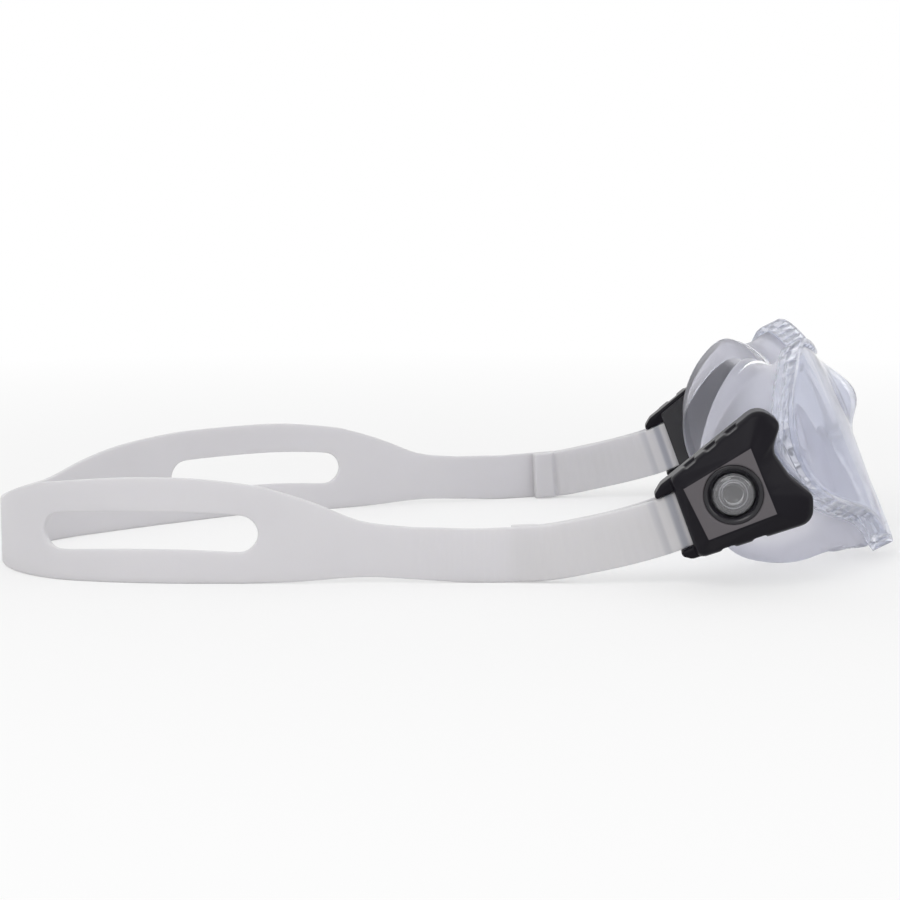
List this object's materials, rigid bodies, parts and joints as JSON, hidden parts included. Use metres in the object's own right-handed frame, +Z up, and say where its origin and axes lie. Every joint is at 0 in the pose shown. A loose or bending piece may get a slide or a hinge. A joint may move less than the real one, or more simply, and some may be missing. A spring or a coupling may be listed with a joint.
{
  "type": "swim goggles",
  "caption": "Wrap-round swim goggles: clear lens and ladder-cell frame, soft face skirt, ribbed slotted strap, and side buckles whose sprung push buttons tip the pawls that grip the strap.",
  "frame": {"origin": "middle of the bounding box's floor, on the table that the goggles lie on", "axes": "+X the way the lens faces, +Y towards the wearer's left, +Z up from the table"},
  "size_m": [0.2416, 0.164, 0.0598],
  "materials": {
    "lens": "clear polished",
    "frame": "clear polished",
    "skirt": "milky satin",
    "strap": "milky satin",
    "buckle": "black gloss",
    "inside": "black satin",
    "button": "clear polished",
    "steel": "bright wire"
  },
  "bodies": {
    "goggles": {"lens": "lens", "frame": "frame", "skirt": "skirt", "strap": "strap", "right_buckle_shell": "buckle", "right_buckle_base": "inside", "right_button_bezel": "buckle", "right_button_spring": "steel", "right_pawl_pin": "steel", "right_roller_pin": "steel", "left_buckle_shell": "buckle", "left_buckle_base": "inside", "left_button_bezel": "buckle", "left_button_spring": "steel", "left_pawl_pin": "steel", "left_roller_pin": "steel"},
    "right_button": {"right_button": "button"},
    "right_pawl": {"right_pawl": "inside"},
    "right_roller": {"right_strap_roller": "inside"},
    "left_button": {"left_button": "button"},
    "left_pawl": {"left_pawl": "inside"},
    "left_roller": {"left_strap_roller": "inside"}
  },
  "joints": [
    {"name": "right_button_press", "type": "slide", "parent": "goggles", "child": "right_button", "axis": [0, 1, 0], "range_m": [0, 0.0013], "stiffness_N_per_m": 400, "springref_m": -0.001, "deforming": ["right_button_spring"]},
    {"name": "right_pawl_tip", "type": "hinge", "parent": "goggles", "child": "right_pawl", "pos_m": [0.07029, -0.07625, 0.02141], "axis": [-0.454, 0, 0.891], "range_deg": [0, 13.3]},
    {"name": "right_roller_turn", "type": "hinge", "parent": "goggles", "child": "right_roller", "pos_m": [0.06682, -0.0715, 0.01964], "axis": [-0.454, 0, 0.891], "continuous": true},
    {"name": "left_button_press", "type": "slide", "parent": "goggles", "child": "left_button", "axis": [0, -1, 0], "range_m": [0, 0.0013], "stiffness_N_per_m": 400, "springref_m": -0.001, "deforming": ["left_button_spring"]},
    {"name": "left_pawl_tip", "type": "hinge", "parent": "goggles", "child": "left_pawl", "pos_m": [0.07029, 0.07625, 0.02141], "axis": [0.454, 0, -0.891], "range_deg": [0, 13.3]},
    {"name": "left_roller_turn", "type": "hinge", "parent": "goggles", "child": "left_roller", "pos_m": [0.06682, 0.0715, 0.01964], "axis": [0.454, 0, -0.891], "continuous": true}
  ],
  "couplings": [
    {"joint": "right_pawl_tip", "follows": "right_button_press", "rad_per_m": 177},
    {"joint": "left_pawl_tip", "follows": "left_button_press", "rad_per_m": 177}
  ]
}
